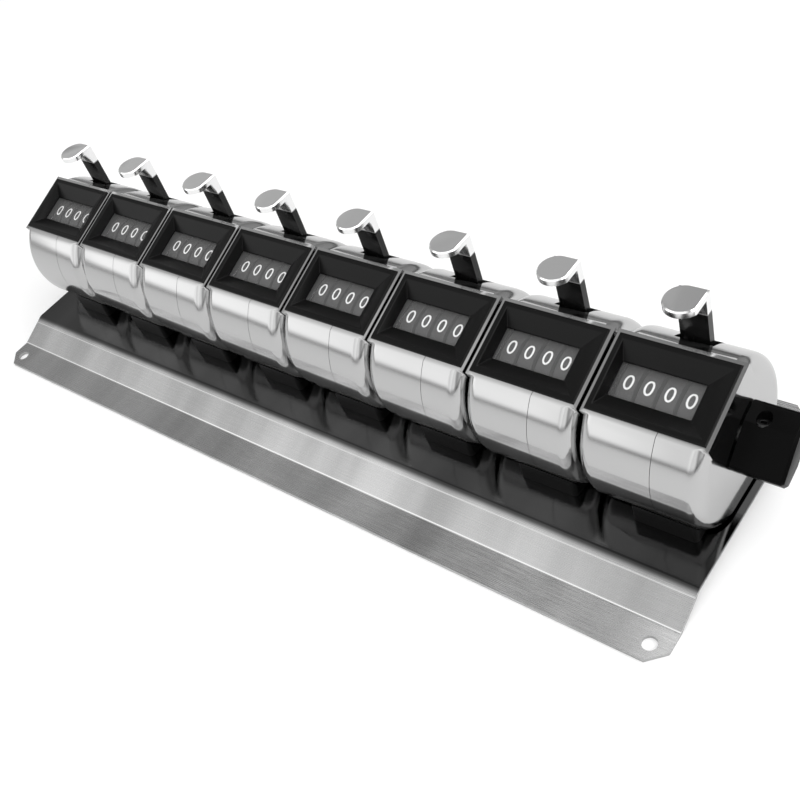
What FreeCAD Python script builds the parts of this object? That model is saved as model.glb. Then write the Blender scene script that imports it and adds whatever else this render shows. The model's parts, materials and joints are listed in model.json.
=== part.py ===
import FreeCAD, Part
import os
import re

import Sketcher
from FreeCAD import Placement, Rotation, Vector

# Driving dimensions in millimetres and degrees: alias, value, meaning
SIZES = [
    ("units_count", 8, "counters in the row"),
    ("sheet_gauge", 1.2, "base sheet"),
    ("end_margin", 3.6, "outermost window frame to the end of the base"),
    ("flange_depth", 11.2, "front and rear flange, edge to fold"),
    ("slope_run", 12.1, "plan depth of each sloped face"),
    ("deck_rise", 5.5, "deck above the flanges"),
    ("deck_depth", 50.4, "flat deck between its folds"),
    ("fold_radius", 1.0, "inside of each fold"),
    ("corner_cut", 5.0, "chamfer at the four corners"),
    ("fixing_hole_dia", 4.5, "holes for fixing the base"),
    ("fixing_inset_end", 5.8, "fixing hole to the end edge"),
    ("fixing_inset_edge", 5.2, "fixing hole to the long edge"),
    ("drum_setback", 8.3, "drum axis behind the middle of the base"),
    ("drum_radius", 25.0, "outside of a drum"),
    ("drum_wall", 0.9, "shell thickness"),
    ("edge_radius", 4.5, "rounded rim of a drum"),
    ("inner_bevel", 2.6, "bevel inside the rounded rim"),
    ("left_margin", 0.9, "window frame to the left end of a drum"),
    ("right_margin", 1.2, "window frame to the right end of a drum"),
    ("drum_gap", 1.1, "between neighbouring drums"),
    ("seam_offset", 4.4, "seam to the middle of the window frame"),
    ("seam_gap", 0.15, "between the two shells"),
    ("flat_drop", 18.8, "flat underside below the drum axis"),
    ("foot_floor", 1.5, "foot material under the drum"),
    ("foot_width", 20.0, "foot along the row"),
    ("foot_reach", 21.3, "foot half depth"),
    ("foot_corner", 1.5, "rounded upright edges of a foot"),
    ("seat_clearance", 0.2, "drum to the curved part of its seat"),
    ("foot_screw_dia", 3.0, "screw thread outside"),
    ("screw_clearance", 0.2, "hole over screw, on the radius"),
    ("screw_spread", 5.5, "foot screws either side of the seam"),
    ("foot_screw_head_dia", 5.6, "screw head"),
    ("foot_screw_head_high", 2.0, "screw head"),
    ("nut_gauge", 2.0, "nut bar inside the drum"),
    ("nut_width", 17.0, "nut bar along the row"),
    ("nut_depth", 8.0, "nut bar, front to rear"),
    ("thread_clearance", 0.05, "nut bar over screw, on the radius"),
    ("window_tilt", 19.5, "window plane, leaning to the front"),
    ("window_reach", 18.2, "window plane above the wheel axle"),
    ("axle_rise", 4.5, "wheel axle above the drum axis"),
    ("bezel_width", 34.8, "window frame along the row"),
    ("bezel_height", 23.5, "window frame up the slope"),
    ("bezel_deep", 4.7, "window frame thickness"),
    ("bezel_proud", 0.5, "window frame above the shell"),
    ("bezel_clearance", 0.1, "window frame to its opening"),
    ("rim_width", 1.7, "flat rim round the recess"),
    ("recess_deep", 3.4, "sloped walls of the recess"),
    ("bay_edge", 1.0, "shell beyond the window frame, front and rear"),
    ("bay_deep", 8.0, "squared part of the shell round the window"),
    ("view_surround", 10.4, "window frame wider than the inner window"),
    ("view_low", 5.2, "inner window below the digit line"),
    ("view_high", 5.1, "inner window above the digit line"),
    ("lens_gauge", 0.8, "window pane"),
    ("lens_lip", 1.0, "pane beyond the inner window"),
    ("lens_clearance", 0.1, "pane to its rebate"),
    ("wheels_count", 4, "number wheels in a counter"),
    ("wheel_radius", 13.2, "number wheel rim"),
    ("wheel_gap", 0.3, "between neighbouring wheels"),
    ("pack_offset", 2.3, "wheel pack left of the window middle"),
    ("ratchet_width", 0.9, "ratchet beside the rim"),
    ("ratchet_tip", 10.6, "ratchet tooth tips, radius"),
    ("ratchet_root", 9.2, "ratchet tooth roots, radius"),
    ("shaft_radius", 3.0, "reset shaft"),
    ("running_gap", 0.08, "bore over shaft, on the radius"),
    ("pickup_width", 1.2, "groove along the shaft"),
    ("pickup_deep", 0.8, "groove along the shaft"),
    ("shell_bore_gap", 0.5, "shell hole over shaft, on the radius"),
    ("clip_radius", 5.0, "shaft clip"),
    ("clip_gauge", 0.8, "shaft clip"),
    ("clip_stub", 1.2, "shaft beyond its clip"),
    ("clip_gap", 0.3, "clip to the first shell"),
    ("spacer_radius", 4.0, "sleeves beside the wheels"),
    ("spacer_gap", 0.2, "end play of a sleeve"),
    ("plate_gauge", 1.2, "side plates"),
    ("plate_room", 1.5, "side plate outline to the bevel inside the drum"),
    ("plate_clearance", 0.3, "side plate below the window frame"),
    ("post_radius", 2.0, "posts between the side plates"),
    ("low_post_back", 2.0, "low post behind the drum axis"),
    ("low_post_drop", 13.0, "low post below the drum axis"),
    ("rear_post_inset", 3.5, "rear post to the side plate outline"),
    ("rear_post_drop", 2.0, "rear post below the drum axis"),
    ("pivot_inset", 3.0, "lever pin to the side plate outline"),
    ("pivot_rise", 4.0, "lever pin above the drum axis"),
    ("pin_radius", 1.25, "lever pin"),
    ("eye_radius", 2.8, "lever eye round its pin"),
    ("lever_gauge", 0.8, "lever sheet"),
    ("arm_gap", 0.5, "lever arm to the wheels"),
    ("arm_width", 4.0, "lever arm"),
    ("arm_crest_ahead", 9.0, "front bend of the arm"),
    ("arm_crest_rise", 12.0, "front bend of the arm"),
    ("arm_top_back", 5.0, "rear bend of the arm"),
    ("arm_top_rise", 15.0, "rear bend of the arm"),
    ("bridge_back", 13.6, "bridge behind the drum axis"),
    ("bridge_rise", 12.0, "bridge above the drum axis"),
    ("bridge_high", 5.0, "bridge between the arms"),
    ("stalk_width", 8.6, "lever stalk along the row"),
    ("stalk_deep", 2.4, "side flanges of the stalk"),
    ("stalk_offset", 0.5, "stalk right of the window middle"),
    ("stalk_length", 26.1, "stalk from the bridge to the pad"),
    ("pad_gauge", 2.1, "thumb pad"),
    ("pad_radius", 5.4, "thumb pad, round side"),
    ("pad_width", 10.3, "thumb pad along the row"),
    ("pad_edge", 0.4, "bevelled edge of the pad"),
    ("pad_over", 1.0, "top of the pad above the end of the stalk"),
    ("slot_width", 11.4, "lever slot along the row"),
    ("slot_length", 7.8, "lever slot over the drum"),
    ("slot_angle", 36.5, "lever slot behind the top of the drum"),
    ("finger_width", 0.5, "pawl and detent fingers"),
    ("finger_gap", 0.25, "finger to the ratchet tips"),
    ("pawl_reach", 3.2, "pawl fingers from the bridge"),
    ("pawl_high", 1.5, "pawl fingers"),
    ("lug_drop", 5.0, "spring lug below the lever pin"),
    ("lug_radius", 1.0, "spring lug"),
    ("lug_length", 3.0, "spring lug"),
    ("spring_radius", 1.3, "return spring coil, outside"),
    ("spring_wire", 0.45, "return spring wire"),
    ("spring_gap", 0.25, "spring end to what holds it"),
    ("comb_gauge", 0.5, "detent comb"),
    ("comb_drop", 1.1, "detent comb below the wheel rims"),
    ("comb_depth", 9.0, "detent comb, front to rear"),
    ("knob_gap", 0.4, "knob to the last drum"),
    ("knob_length", 14.5, "knob along the row"),
    ("knob_half_width", 9.8, "knob, axis to its narrow edges"),
    ("knob_edge_half", 2.8, "knob, half thickness at its narrow edges"),
    ("knob_crest_half", 4.7, "knob, half thickness at the crease"),
    ("knob_crest_shift", 3.3, "crease of the knob off its middle"),
    ("knob_angle", 31.4, "knob turned about the shaft"),
    ("knob_edge", 1.4, "rounded edges of the knob"),
    ("knob_end_bevel", 0.8, "bevel at the end of the knob"),
    ("set_screw_inset", 4.7, "set screw to the drum end of the knob"),
    ("set_screw_dia", 4.0, "set screw"),
    ("set_screw_length", 2.6, "set screw"),
    ("set_screw_angle", 38.0, "set screw off the broad direction of the knob"),
    ("set_screw_key", 2.0, "hexagon socket, across its corners"),
    ("set_screw_key_deep", 1.2, "hexagon socket"),
    ("shaft_short", 2.0, "shaft end inside the knob"),
]

# Dimensions that follow from the driving ones
DERIVED = [
    ("pitch", "=left_margin + bezel_width + right_margin + drum_gap", "one counter to the next"),
    ("view_width", "=bezel_width - view_surround", "inner window along the row"),
    ("wheel_pitch", "=view_width/wheels_count", "one number wheel to the next"),
    ("plate_radius", "=drum_radius - drum_wall - inner_bevel - plate_room", "side plate outline"),
    ("pivot_ahead", "=plate_radius - pivot_inset", "lever pin in front of the drum axis"),
    ("rear_post_back", "=plate_radius - rear_post_inset", "rear post behind the drum axis"),
]
TEETH = 10
TOOTH_TURN = 360 / TEETH
TOOTH_FACE = 5
CLOSE = 1e-4
PARALLEL = 1e-6
ROW = Vector(1, 0, 0)
FUNCTIONS = {"sin", "cos", "tan", "sqrt", "atan"}

DOC = FreeCAD.newDocument("counter_bank")


def fill_sheet():
    """Writes the dimensions into the document's sheet, the derived ones as formulas."""
    sheet = DOC.addObject("Spreadsheet::Sheet", "sizes")
    for row, (alias, value, meaning) in enumerate(SIZES + DERIVED, start=1):
        sheet.set(f"A{row}", meaning)
        sheet.set(f"B{row}", str(value))
        sheet.setAlias(f"B{row}", alias)
    DOC.recompute()
    return sheet


SHEET = fill_sheet()


def bound(text):
    """An expression over the sheet, from plain alias names."""
    return re.sub(r"[a-z_]\w*", lambda word: word[0] if word[0] in FUNCTIONS else "sizes." + word[0], text)


def size(alias):
    """The value of one driving dimension."""
    return float(SHEET.get(alias))


# Places along the row, from the middle of a counter's window frame
DRUM_LEFT = "(bezel_width/2 + left_margin)"
DRUM_RIGHT = "(bezel_width/2 + right_margin)"
PACK_LEFT = "(pack_offset + wheels_count*wheel_pitch/2 - wheel_gap/2)"
PACK_RIGHT = "(wheels_count*wheel_pitch/2 - wheel_gap/2 - pack_offset)"
PLATE_LEFT = f"({DRUM_LEFT} - drum_wall - plate_gauge)"
PLATE_RIGHT = f"({DRUM_RIGHT} - drum_wall - plate_gauge)"
LAST_UNIT = "((units_count - 1)*pitch/2)"
BASE_HALF = f"({LAST_UNIT} + bezel_width/2 + end_margin)"

# Heights above the underside of the base and depths from its middle
BASE_HALF_DEPTH = "(deck_depth/2 + slope_run + flange_depth)"
DECK_TOP = "(sheet_gauge + deck_rise)"
DRUM_HIGH = f"({DECK_TOP} + foot_floor + flat_drop)"
AXLE_HIGH = f"({DRUM_HIGH} + axle_rise)"
FOLD_SHIFT = "(sheet_gauge*tan(atan(deck_rise/slope_run)/2))"


def make_body(label, across=None, high=None, back="drum_setback", tilt=None):
    """A body placed by expressions: across the row, back from the middle and high above the underside."""
    body = DOC.addObject("PartDesign::Body", label)
    body.Label = label
    if tilt:
        body.Placement = Placement(Vector(), Rotation(Vector(1, 0, 0), 1))
        body.setExpression("Placement.Rotation.Angle", bound(tilt))
    for axis, text in (("x", across), ("y", back), ("z", high)):
        if text:
            body.setExpression(f"Placement.Base.{axis}", bound(text))
    return body


def origin_feature(body, role):
    """One of a body's own origin planes or axes."""
    return next(item for item in body.Origin.OriginFeatures if item.Role == role)


def make_sketch(body, name, role="YZ_Plane", shift=None, side=None, up=None, turn=None):
    """A sketch on an origin plane, shifted along its normal, or moved and turned in its plane."""
    sketch = body.newObject("Sketcher::SketchObject", name)
    sketch.AttachmentSupport = [(origin_feature(body, role), "")]
    sketch.MapMode = "FlatFace"
    if turn:
        sketch.AttachmentOffset = Placement(Vector(), Rotation(Vector(0, 0, 1), 1))
        sketch.setExpression("AttachmentOffset.Rotation.Angle", bound(turn))
    for axis, text in (("x", side), ("y", up), ("z", shift)):
        if text:
            sketch.setExpression(f"AttachmentOffset.Base.{axis}", bound(text))
    return sketch


def value_of(text):
    """The number that an expression over the sheet comes to."""
    result = SHEET.evalExpression(bound(text))
    return float(getattr(result, "Value", result))


def pin_point(sketch, geometry, point, place):
    """Ties one point of a sketch to its place, given as two expressions."""
    for kind, text in zip(("DistanceX", "DistanceY"), place):
        index = sketch.addConstraint(Sketcher.Constraint(kind, -1, 1, geometry, point, value_of(text)))
        sketch.setExpression(f"Constraints[{index}]", bound(text))


def polygon(sketch, places):
    """A closed polygon whose corners lie at pairs of expressions."""
    corners = [Vector(value_of(side), value_of(up), 0) for side, up in places]
    lines = [sketch.addGeometry(Part.LineSegment(start, end), False)
             for start, end in zip(corners, corners[1:] + corners[:1])]
    for line, after in zip(lines, lines[1:] + lines[:1]):
        sketch.addConstraint(Sketcher.Constraint("Coincident", line, 2, after, 1))
    for line, place in zip(lines, places):
        pin_point(sketch, line, 1, place)
    return sketch


def rectangle(sketch, left, right, low, high):
    """An upright rectangle between four expressions."""
    return polygon(sketch, [(left, low), (right, low), (right, high), (left, high)])


def circle(sketch, side, up, radius):
    """A circle with its centre at a pair of expressions."""
    centre = Vector(value_of(side), value_of(up), 0)
    ring = sketch.addGeometry(Part.Circle(centre, Vector(0, 0, 1), value_of(radius)), False)
    pin_point(sketch, ring, 3, (side, up))
    index = sketch.addConstraint(Sketcher.Constraint("Radius", ring, value_of(radius)))
    sketch.setExpression(f"Constraints[{index}]", bound(radius))
    return sketch


def flat_circle(sketch, radius, drop):
    """A circle about the origin, cut off level at a distance below it."""
    whole = value_of(radius)
    low = -value_of(drop)
    half = (whole**2 - low**2) ** 0.5
    right, left = Vector(half, low, 0), Vector(-half, low, 0)
    arc = sketch.addGeometry(Part.Arc(right, Vector(0, whole, 0), left), False)
    line = sketch.addGeometry(Part.LineSegment(left, right), False)
    sketch.addConstraint(Sketcher.Constraint("Coincident", arc, 3, -1, 1))
    sketch.addConstraint(Sketcher.Constraint("Coincident", arc, 2, line, 1))
    sketch.addConstraint(Sketcher.Constraint("Coincident", arc, 1, line, 2))
    sketch.addConstraint(Sketcher.Constraint("Horizontal", line))
    index = sketch.addConstraint(Sketcher.Constraint("Radius", arc, whole))
    sketch.setExpression(f"Constraints[{index}]", bound(radius))
    index = sketch.addConstraint(Sketcher.Constraint("DistanceY", -1, 1, line, 1, low))
    sketch.setExpression(f"Constraints[{index}]", bound(f"-{drop}"))
    return sketch


def pad(body, name, sketch, length):
    """Adds a sketch's area, grown along its normal."""
    feature = body.newObject("PartDesign::Pad", name)
    feature.Profile = sketch
    feature.setExpression("Length", bound(length))
    return feature


def cut(body, name, sketch, length):
    """Removes a sketch's area, swept along its normal, and checks that it took something away."""
    DOC.recompute()
    before = body.Shape.Volume
    feature = body.newObject("PartDesign::Pocket", name)
    feature.Profile = sketch
    feature.Reversed = True
    feature.setExpression("Length", bound(length))
    DOC.recompute()
    if body.Shape.Volume >= before:
        raise ValueError(f"{body.Label}: {name} removes nothing")
    return feature


def dress(body, kind, name, amount, chosen):
    """Rounds or bevels the edges that a test picks."""
    DOC.recompute()
    base = body.Tip
    edges = [f"Edge{index}" for index, edge in enumerate(base.Shape.Edges, start=1) if chosen(edge)]
    if not edges:
        raise ValueError(f"{body.Label}: {name} finds no edge")
    feature = body.newObject(f"PartDesign::{kind}", name)
    feature.Base = (base, edges)
    feature.setExpression("Radius" if kind == "Fillet" else "Size", bound(amount))
    return feature


def runs_along(edge, direction):
    """Whether an edge is straight and parallel to a direction."""
    if edge.Curve.TypeId != "Part::GeomLine":
        return False
    along = edge.tangentAt(edge.FirstParameter)
    return along.cross(direction).Length < PARALLEL


def ring_at(edge, radius, across):
    """Whether an edge is a circle about the row's direction, of a given radius, at a given place."""
    if edge.Curve.TypeId != "Part::GeomCircle":
        return False
    ring = edge.Curve
    return (abs(ring.Radius - value_of(radius)) < CLOSE and abs(ring.Center.x - value_of(across)) < CLOSE
            and ring.Axis.cross(ROW).Length < PARALLEL)


def lies_at(low, high, place):
    """Whether a span from low to high lies wholly at one place."""
    return abs(low - place) < CLOSE and abs(high - place) < CLOSE


def repeat_along_row(body):
    """Repeats a finished body once for every counter."""
    DOC.recompute()
    pattern = body.newObject("PartDesign::LinearPattern", body.Label + "_row")
    pattern.Direction = (origin_feature(body, "X_Axis"), [""])
    pattern.TransformMode = "Whole shape"
    pattern.setExpression("Length", bound("(units_count - 1)*pitch"))
    pattern.setExpression("Occurrences", bound("units_count"))
    body.Tip = pattern
    return body


def unit_body(label, high=DRUM_HIGH, tilt=None):
    """A body that belongs to the first counter, to be repeated along the row."""
    return make_body(label, across="-" + LAST_UNIT, high=high, tilt=tilt)


def make_base_plate():
    """One folded sheet: flange, slope, deck, slope, flange, with cut corners and holes."""
    body = make_body("base_plate", back=None)
    edge, low, deck = BASE_HALF_DEPTH, "(deck_depth/2 + slope_run)", "deck_depth/2"
    upper = [(edge, "sheet_gauge"), (low, "sheet_gauge"), (deck, DECK_TOP)]
    under = [(edge, "0"), (f"({low} - {FOLD_SHIFT})", "0"), (f"({deck} - {FOLD_SHIFT})", "deck_rise")]
    front = [("-" + side, up) for side, up in upper]
    front_under = [("-" + side, up) for side, up in under]
    outline = front + upper[::-1] + under + front_under[::-1]
    section = polygon(make_sketch(body, "section", shift="-" + BASE_HALF), outline)
    pad(body, "fold", section, "2*" + BASE_HALF)

    def fold_edge(places):
        spots = [(abs(value_of(side)), value_of(up)) for side, up in places]

        def test(item):
            middle = item.CenterOfMass
            return runs_along(item, ROW) and any(
                abs(abs(middle.y) - side) < CLOSE and abs(middle.z - up) < CLOSE for side, up in spots)
        return test

    dress(body, "Fillet", "inner_folds", "fold_radius", fold_edge([upper[1], under[2]]))
    dress(body, "Fillet", "outer_folds", "fold_radius + sheet_gauge", fold_edge([upper[2], under[1]]))
    dress(body, "Chamfer", "cut_corners", "corner_cut",
          lambda item: runs_along(item, Vector(0, 0, 1)) and item.Length > size("sheet_gauge") / 2)
    fixings = make_sketch(body, "fixing_holes", role="XY_Plane")
    for across in ("-", ""):
        for back in ("-", ""):
            circle(fixings, f"{across}({BASE_HALF} - fixing_inset_end)",
                   f"{back}({BASE_HALF_DEPTH} - fixing_inset_edge)", "fixing_hole_dia/2")
    cut(body, "fixings", fixings, DECK_TOP)
    screws = make_sketch(body, "foot_holes", role="XY_Plane")
    for unit in range(int(size("units_count"))):
        for side in ("-", "+"):
            circle(screws, f"{unit}*pitch - {LAST_UNIT} + seam_offset {side} screw_spread", "drum_setback",
                   "foot_screw_dia/2 + screw_clearance")
    cut(body, "foot_fixings", screws, DECK_TOP)
    return body


def make_feet():
    """A black block under each drum, hollowed to the drum's round underside."""
    body = unit_body("feet")
    start = "(seam_offset - foot_width/2)"
    rise = "sqrt(drum_radius^2 - foot_reach^2)"
    block = rectangle(make_sketch(body, "block", shift=start),
                      "-foot_reach", "foot_reach", "-(flat_drop + foot_floor)", "-" + rise)
    pad(body, "foot_block", block, "foot_width")
    dress(body, "Fillet", "foot_corners", "foot_corner", lambda item: runs_along(item, Vector(0, 0, 1)))
    seat = flat_circle(make_sketch(body, "seat", shift=start), "(drum_radius + seat_clearance)", "flat_drop")
    cut(body, "drum_seat", seat, "foot_width")
    screws = make_sketch(body, "screw_holes", role="XY_Plane", shift="-(flat_drop + foot_floor)")
    for side in ("-", "+"):
        circle(screws, f"seam_offset {side} screw_spread", "0", "foot_screw_dia/2 + screw_clearance")
    cut(body, "screw_ways", screws, "foot_floor")
    return repeat_along_row(body)


def make_foot_screws():
    """Two screws under each drum, from below the deck into the nut bar."""
    body = unit_body("foot_screws")
    under_deck = "-(flat_drop + foot_floor + sheet_gauge"
    for number, side in enumerate("-+"):
        place = (f"seam_offset {side} screw_spread", "0")
        head = make_sketch(body, f"head_{number}", role="XY_Plane",
                           shift=f"{under_deck} + foot_screw_head_high)")
        circle(head, *place, "foot_screw_head_dia/2")
        pad(body, f"screw_head_{number}", head, "foot_screw_head_high")
        shank = circle(make_sketch(body, f"shank_{number}", role="XY_Plane", shift=f"{under_deck})"),
                       *place, "foot_screw_dia/2")
        pad(body, f"screw_shank_{number}", shank, "sheet_gauge + foot_floor + drum_wall + nut_gauge")
    return repeat_along_row(body)


def make_nut_bars():
    """A tapped bar inside each drum, bridging the seam."""
    body = unit_body("nut_bars")
    bar = rectangle(make_sketch(body, "bar", role="XY_Plane", shift="-(flat_drop - drum_wall)"),
                    "seam_offset - nut_width/2", "seam_offset + nut_width/2", "-nut_depth/2", "nut_depth/2")
    pad(body, "nut_bar", bar, "nut_gauge")
    taps = make_sketch(body, "taps", role="XY_Plane", shift="-(flat_drop - drum_wall)")
    for side in ("-", "+"):
        circle(taps, f"seam_offset {side} screw_spread", "0", "foot_screw_dia/2 + thread_clearance")
    cut(body, "tapped_holes", taps, "nut_gauge")
    return repeat_along_row(body)


def loft_out(body, name, first, second):
    """Removes the space between two sketches."""
    feature = body.newObject("PartDesign::SubtractiveLoft", name)
    feature.Profile = first
    feature.Sections = [second]
    feature.Ruled = True
    return feature


def make_shells(label, side):
    """One half of each drum: a round cup with a squared bay round the window."""
    body = unit_body(label)
    seam = f"(seam_offset {side} seam_gap/2)"
    if side == "-":
        start, end, outer = f"(-{DRUM_LEFT})", seam, f"(-{DRUM_LEFT})"
        wall = f"({outer} + drum_wall)"
        shoulder = f"({wall} + inner_bevel)"
        hollow, hollow_end = shoulder, end
        opening, opening_end = "(-bezel_width/2 - bezel_clearance)", end
        slot, slot_end = "(stalk_offset - slot_width/2)", end
    else:
        start, end, outer = seam, DRUM_RIGHT, DRUM_RIGHT
        wall = f"({outer} - drum_wall)"
        shoulder = f"({wall} - inner_bevel)"
        hollow, hollow_end = start, shoulder
        opening, opening_end = start, "(bezel_width/2 + bezel_clearance)"
        slot, slot_end = start, "(stalk_offset + slot_width/2)"
    length = f"{end} - {start}"
    inside, floor = "(drum_radius - drum_wall)", "(flat_drop - drum_wall)"
    half_opening = "(bezel_height/2 + bezel_clearance)"
    bay_top = "(window_reach - bezel_proud)"

    drum = circle(make_sketch(body, "drum_section", shift=start), "0", "0", "drum_radius")
    pad(body, "drum", drum, length)
    dress(body, "Fillet", "rounded_rim", "edge_radius", lambda item: ring_at(item, "drum_radius", outer))
    bay = rectangle(make_sketch(body, "bay_section", shift=start, up="axle_rise", turn="window_tilt"),
                    f"-({half_opening} + bay_edge)", f"{half_opening} + bay_edge",
                    f"{bay_top} - bay_deep", bay_top)
    pad(body, "window_bay", bay, length)
    under = rectangle(make_sketch(body, "underside", shift=start),
                      "-2*drum_radius", "2*drum_radius", "-2*drum_radius", "-flat_drop")
    cut(body, "flat_underside", under, length)
    above = make_sketch(body, "window_flat_section", shift=start, up="axle_rise", turn="window_tilt")
    level = rectangle(above, "-drum_radius", "drum_radius", bay_top, f"{bay_top} + drum_radius")
    cut(body, "window_flat", level, length)
    small = flat_circle(make_sketch(body, "shoulder_small", shift=wall), f"({inside} - inner_bevel)", floor)
    wide = flat_circle(make_sketch(body, "shoulder_wide", shift=shoulder), inside, floor)
    loft_out(body, "cavity_shoulder", small, wide)
    cavity = flat_circle(make_sketch(body, "cavity_section", shift=hollow), inside, floor)
    cut(body, "cavity", cavity, f"{hollow_end} - {hollow}")
    mouth = make_sketch(body, "opening_section", shift=opening, up="axle_rise", turn="window_tilt")
    window = rectangle(mouth, "-" + half_opening, half_opening,
                       f"{bay_top} - bay_deep", f"{bay_top} + bezel_proud")
    cut(body, "window_opening", window, f"{opening_end} - {opening}")
    lever_way = rectangle(make_sketch(body, "slot_section", shift=slot, turn="-slot_angle"),
                          "-slot_length/2", "slot_length/2",
                          "drum_radius - 2*drum_wall", "drum_radius + drum_wall")
    cut(body, "lever_slot", lever_way, f"{slot_end} - {slot}")
    bore = circle(make_sketch(body, "bore_section", shift=start),
                  "0", "axle_rise", "shaft_radius + shell_bore_gap")
    cut(body, "shaft_hole", bore, length)
    screw = circle(make_sketch(body, "screw_section", role="XY_Plane", shift="-flat_drop"),
                   f"seam_offset {side} screw_spread", "0", "foot_screw_dia/2 + screw_clearance")
    cut(body, "screw_hole", screw, "drum_wall")
    return repeat_along_row(body)


def make_bezels():
    """The black window frames, with a recess of sloped walls down to the number window."""
    body = unit_body("bezels", high=AXLE_HIGH, tilt="window_tilt")
    under = "(window_reach - bezel_deep)"
    view = ("-(pack_offset + view_width/2)", "view_width/2 - pack_offset", "-view_low", "view_high")
    block = rectangle(make_sketch(body, "block", role="XY_Plane", shift=under),
                      "-bezel_width/2", "bezel_width/2", "-bezel_height/2", "bezel_height/2")
    pad(body, "frame_block", block, "bezel_deep")
    mouth = rectangle(make_sketch(body, "mouth", role="XY_Plane", shift="window_reach"),
                      "-(bezel_width/2 - rim_width)", "bezel_width/2 - rim_width",
                      "-(bezel_height/2 - rim_width)", "bezel_height/2 - rim_width")
    floor = rectangle(make_sketch(body, "floor", role="XY_Plane", shift="window_reach - recess_deep"), *view)
    loft_out(body, "recess", mouth, floor)
    through = rectangle(make_sketch(body, "through", role="XY_Plane", shift=under), *view)
    cut(body, "number_window", through, "bezel_deep - recess_deep")
    rebate = rectangle(make_sketch(body, "rebate", role="XY_Plane", shift=under),
                       *lens_edges("lens_lip + lens_clearance"))
    cut(body, "lens_rebate", rebate, "lens_gauge")
    return repeat_along_row(body)


def lens_edges(lip):
    """The sides of a rectangle that reaches past the number window by a lip."""
    return (f"-(pack_offset + view_width/2 + {lip})", f"view_width/2 - pack_offset + {lip}",
            f"-(view_low + {lip})", f"view_high + {lip}")


def make_window_panes():
    """The clear panes under the number windows."""
    body = unit_body("window_panes", high=AXLE_HIGH, tilt="window_tilt")
    pane = rectangle(make_sketch(body, "pane", role="XY_Plane", shift="window_reach - bezel_deep"),
                     *lens_edges("lens_lip"))
    pad(body, "window_pane", pane, "lens_gauge")
    return repeat_along_row(body)


def make_side_plates(label, start):
    """The plates at either end of the mechanism, against the end walls of the drum."""
    body = unit_body(label)
    plate = flat_circle(make_sketch(body, "plate", shift=start), "plate_radius", "(flat_drop - drum_wall)")
    pad(body, "side_plate", plate, "plate_gauge")
    relief = rectangle(make_sketch(body, "relief", shift=start, up="axle_rise", turn="window_tilt"),
                       "-plate_radius", "plate_radius",
                       "window_reach - bezel_deep - plate_clearance", "window_reach + plate_radius")
    cut(body, "window_relief", relief, "plate_gauge")
    holes = make_sketch(body, "holes", shift=start)
    circle(holes, "0", "axle_rise", "shaft_radius + running_gap")
    circle(holes, "-pivot_ahead", "pivot_rise", "pin_radius + running_gap")
    cut(body, "pivot_holes", holes, "plate_gauge")
    return repeat_along_row(body)


def make_frame_posts():
    """Two posts between the side plates of each counter."""
    body = unit_body("frame_posts")
    posts = make_sketch(body, "posts", shift="-" + PLATE_LEFT)
    circle(posts, "low_post_back", "-low_post_drop", "post_radius")
    circle(posts, "rear_post_back", "-rear_post_drop", "post_radius")
    pad(body, "post_pair", posts, f"{PLATE_LEFT} + {PLATE_RIGHT}")
    return repeat_along_row(body)


def make_lever_pins():
    """The pins that the levers turn on, through both side plates."""
    body = unit_body("lever_pins")
    pin = circle(make_sketch(body, "pin", shift=f"-({PLATE_LEFT} + plate_gauge)"),
                 "-pivot_ahead", "pivot_rise", "pin_radius")
    pad(body, "lever_pin", pin, f"{PLATE_LEFT} + {PLATE_RIGHT} + 2*plate_gauge")
    return repeat_along_row(body)


def make_wheel_spacers():
    """Sleeves on the shaft that keep the number wheels between the side plates."""
    body = unit_body("wheel_spacers")
    spans = [(f"-{PLATE_LEFT} + spacer_gap", f"-{PACK_LEFT} - spacer_gap"),
             (f"{PACK_RIGHT} + spacer_gap", f"{PLATE_RIGHT} - spacer_gap")]
    for number, (start, end) in enumerate(spans):
        ring = make_sketch(body, f"ring_{number}", shift=start)
        circle(ring, "0", "axle_rise", "spacer_radius")
        circle(ring, "0", "axle_rise", "shaft_radius + running_gap")
        pad(body, f"sleeve_{number}", ring, f"({end}) - ({start})")
    return repeat_along_row(body)


def slot_middles():
    """The middles of the gaps between the wheel rims, where the ratchets lie."""
    return [f"({number}*wheel_pitch - {PACK_LEFT} + (ratchet_width - wheel_gap)/2)"
            for number in range(int(size("wheels_count")))]


def make_detent_combs():
    """A spring comb below each wheel pack, one finger to a ratchet."""
    body = unit_body("detent_combs")
    top = "(axle_rise - wheel_radius - comb_drop)"
    strip = rectangle(make_sketch(body, "strip", shift="-" + PACK_LEFT),
                      "low_post_back - comb_depth/2", "low_post_back + comb_depth/2",
                      f"{top} - comb_gauge", top)
    pad(body, "comb_strip", strip, f"{PACK_LEFT} + {PACK_RIGHT}")
    leg = rectangle(make_sketch(body, "leg", shift="-" + PACK_LEFT),
                    "low_post_back - comb_gauge/2", "low_post_back + comb_gauge/2",
                    "-low_post_drop + post_radius + spring_gap", f"{top} - comb_gauge/2")
    pad(body, "comb_leg", leg, f"{PACK_LEFT} + {PACK_RIGHT}")
    for number, middle in enumerate(slot_middles()):
        finger = rectangle(make_sketch(body, f"finger_{number}", shift=f"{middle} - finger_width/2"),
                           "low_post_back - comb_gauge", "low_post_back + comb_gauge",
                           f"{top} - comb_gauge/2", "axle_rise - ratchet_tip - finger_gap")
        pad(body, f"comb_finger_{number}", finger, "finger_width")
    return repeat_along_row(body)


SPRING_RUN = "(low_post_back + pivot_ahead)"
SPRING_FALL = "(low_post_drop + pivot_rise - lug_drop)"


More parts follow.
